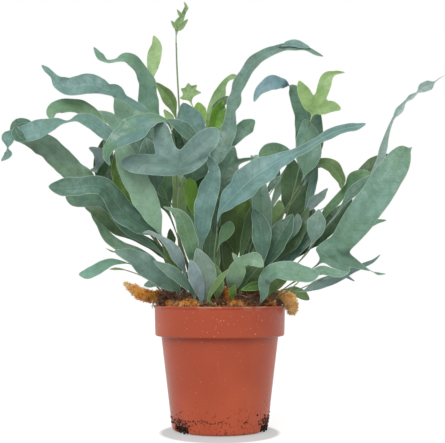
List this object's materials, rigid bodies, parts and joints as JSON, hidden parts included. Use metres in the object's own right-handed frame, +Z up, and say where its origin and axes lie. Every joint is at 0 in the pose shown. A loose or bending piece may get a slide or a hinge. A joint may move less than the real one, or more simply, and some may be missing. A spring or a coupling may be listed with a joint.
{
  "type": "potted blue star fern",
  "caption": "Fern with strap-like and lobed blue-green fronds on thin stalks, rising from golden scaly rhizomes in a tapered plastic nursery pot that stands on its flat base.",
  "frame": {"origin": "centre of the pot's flat underside", "axes": "+Z up along the pot's axis, -Y towards the plant's front, +X to the right seen from the front"},
  "size_m": [0.406, 0.256, 0.4],
  "materials": {
    "pot_plastic": "satin moulded plastic, dusty at the foot",
    "growing_medium": "damp bark, peat and roots",
    "rhizome": "golden papery scales",
    "frond_blue": "waxy blue-green bloom",
    "frond_sky": "glossy pale blue-green",
    "frond_grey": "grey-green waxy",
    "frond_dark": "dark blue-green",
    "frond_deep": "deep green in shade",
    "frond_green": "mid green",
    "frond_mint": "pale mint green",
    "frond_pale": "pale grey-green",
    "frond_olive": "olive green in shade",
    "frond_young": "young light green"
  },
  "bodies": {
    "root": {"pot": "pot_plastic", "growing_medium": "growing_medium", "rhizome_left": "rhizome", "rhizome_front": "rhizome", "rhizome_centre": "rhizome", "rhizome_right": "rhizome", "frond_upper_left_arch": "frond_dark", "frond_wavy_upper_left": "frond_blue", "frond_pale_behind_wavy": "frond_pale", "frond_green_arch_left": "frond_mint", "frond_long_left_twisted": "frond_blue", "frond_broad_left": "frond_grey", "frond_mid_left_dark": "frond_dark", "frond_mid_left_lower": "frond_grey", "frond_low_left_green": "frond_green", "frond_low_left_broad": "frond_grey", "frond_small_far_left": "frond_mint", "frond_dark_lobed_left": "frond_dark", "frond_pale_left_front": "frond_pale", "frond_glossy_drooping": "frond_sky", "frond_dark_under_trilobe": "frond_dark", "frond_young_upright": "frond_young", "frond_tall_fiddlehead": "frond_young", "frond_folded_green": "frond_olive", "frond_small_star": "frond_young", "frond_pale_green_curl": "frond_pale", "frond_tall_right_arch": "frond_dark", "frond_rounded_behind": "frond_dark", "frond_broad_centre": "frond_dark", "frond_centre_trilobe": "frond_grey", "frond_olive_inner": "frond_olive", "frond_front_left_curved": "frond_grey", "frond_front_centre_upright": "frond_blue", "frond_long_blue_crossing": "frond_sky", "frond_dark_centre": "frond_deep", "frond_dark_olive_centre": "frond_deep", "frond_slim_upright_right": "frond_green", "frond_oval_dark": "frond_dark", "frond_folded_front": "frond_mint", "frond_front_grey_broad": "frond_grey", "frond_oval_dark_outer": "frond_dark", "frond_broad_pale_right": "frond_pale", "frond_grey_long_right": "frond_grey", "frond_dark_long_right": "frond_deep", "frond_green_curl_right": "frond_green", "frond_dark_back_right": "frond_olive", "frond_far_right_twisted": "frond_blue", "frond_drooping_arch_right": "frond_green", "frond_tall_right_drooping_tip": "frond_dark", "frond_young_trilobe_right": "frond_young", "frond_front_right_bent": "frond_mint", "frond_slim_low_right": "frond_dark", "frond_back_arch_left": "frond_grey", "frond_back_arch_centre_left": "frond_blue", "frond_back_arch_centre": "frond_dark", "frond_back_arch_right": "frond_blue", "frond_back_low_left": "frond_dark", "frond_back_low_right": "frond_grey", "frond_back_low_centre": "frond_green", "frond_back_tall": "frond_blue"}
  },
  "joints": []
}
